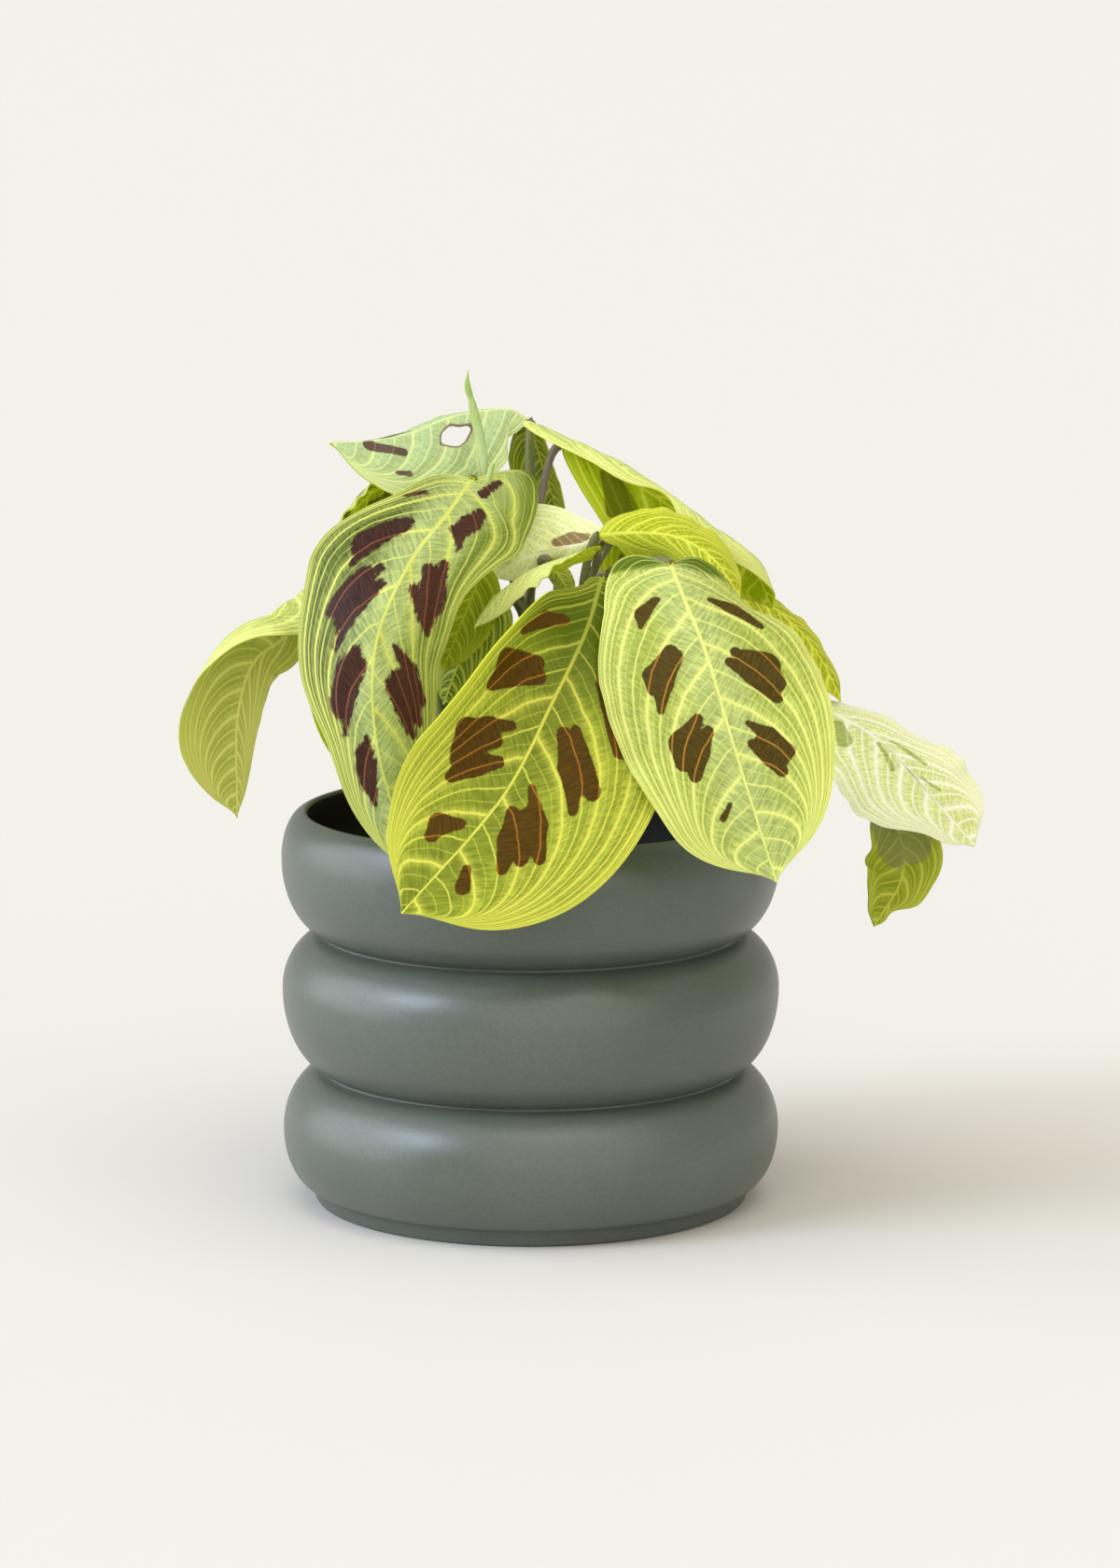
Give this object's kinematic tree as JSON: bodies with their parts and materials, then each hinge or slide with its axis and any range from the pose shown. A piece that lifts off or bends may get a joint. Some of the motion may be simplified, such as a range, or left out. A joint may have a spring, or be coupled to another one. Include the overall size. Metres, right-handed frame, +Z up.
{
  "type": "potted prayer plant",
  "caption": "A leafy maranta clump with pale veined, dark blotched leaves on arching stalks, planted in a round ceramic pot of three stacked rolls",
  "frame": {"origin": "on the table under the middle of the pot", "axes": "+Z up along the pot's axis, -Y towards the front of the plant, where its two largest leaves hang"},
  "size_m": [0.251, 0.2034, 0.2651],
  "materials": {
    "pot": "satin grey green glaze",
    "soil": "dark crumbly potting mix",
    "stem": "olive green stalks flushed with purple",
    "leaf": "satin pale green with yellow veins and brown blotches",
    "bud": "satin pale green"
  },
  "bodies": {
    "root": {"pot": "pot", "soil": "soil", "shoot_left": "stem", "shoot_middle": "stem", "shoot_front": "stem", "shoot_right": "stem", "shoot_back": "stem", "shoot_back_left": "stem", "blade_left_front": "leaf", "blade_upper_left": "leaf", "blade_front": "leaf", "blade_right_front": "leaf", "blade_centre": "leaf", "blade_upper_right": "leaf", "blade_right_mid": "leaf", "blade_left_far": "leaf", "blade_right_far": "leaf", "blade_right_low": "leaf", "blade_right_back": "leaf", "blade_inner_left": "leaf", "blade_inner_front": "leaf", "blade_inner_dark": "leaf", "blade_inner_small": "leaf", "blade_behind_left": "leaf", "blade_behind_middle": "leaf", "blade_back_high": "leaf", "blade_back_right": "leaf", "blade_back_middle": "leaf", "blade_back_inner": "leaf", "blade_back_left": "leaf", "blade_back_low": "leaf", "bud": "bud"}
  },
  "joints": []
}
